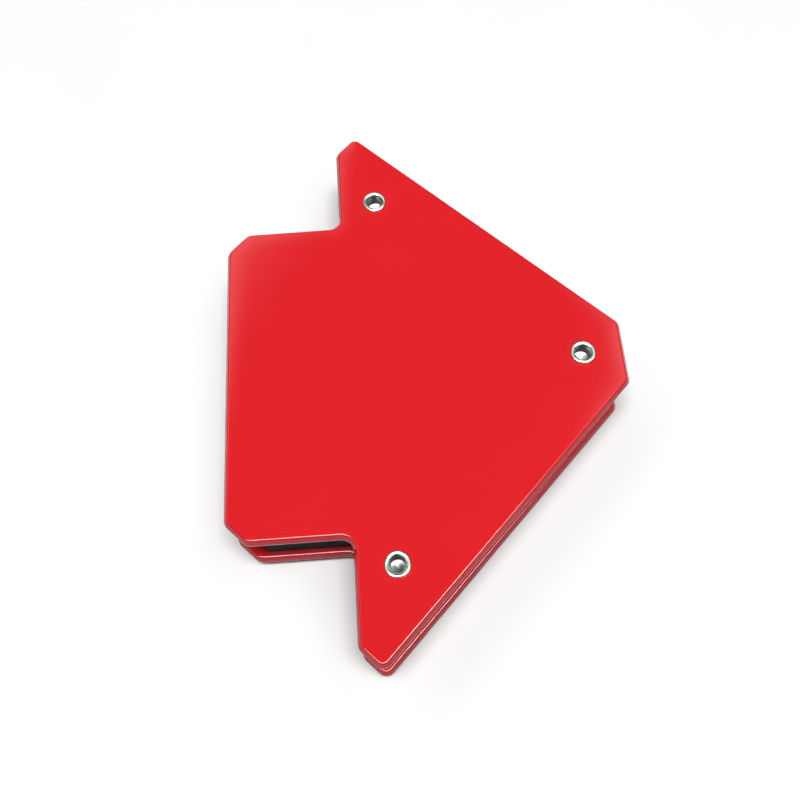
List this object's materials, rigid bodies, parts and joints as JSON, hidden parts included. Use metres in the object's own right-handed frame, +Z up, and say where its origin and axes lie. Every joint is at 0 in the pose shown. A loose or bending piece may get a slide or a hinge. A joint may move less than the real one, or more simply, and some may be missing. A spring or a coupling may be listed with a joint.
{
  "type": "welding magnet holder",
  "caption": "Flat arrow-shaped magnetic holder for setting steel at 45, 90 and 135 degrees: red steel plates riveted round ferrite blocks, working edges all round.",
  "frame": {"origin": "bottom centre of the object's box, on the surface it lies on, under its three rivet heads", "axes": "+X along the arrow's axis towards its blunt tip, +Y towards the left wing, +Z up, out of the front plate"},
  "size_m": [0.059, 0.0848, 0.0133],
  "materials": {
    "red_paint": "gloss powder coat",
    "zinc_plate": "bright zinc",
    "spacer_steel": "plain turned steel",
    "ferrite": "matt sintered ferrite"
  },
  "bodies": {
    "root": {"front_plate": "red_paint", "rear_plate": "red_paint", "rivet_tip": "zinc_plate", "rivet_wing_left": "zinc_plate", "rivet_wing_right": "zinc_plate", "spacer_tip": "spacer_steel", "spacer_wing_left": "spacer_steel", "spacer_wing_right": "spacer_steel", "magnet_stem_left": "ferrite", "magnet_stem_right": "ferrite", "magnet_tip": "ferrite"}
  },
  "joints": []
}
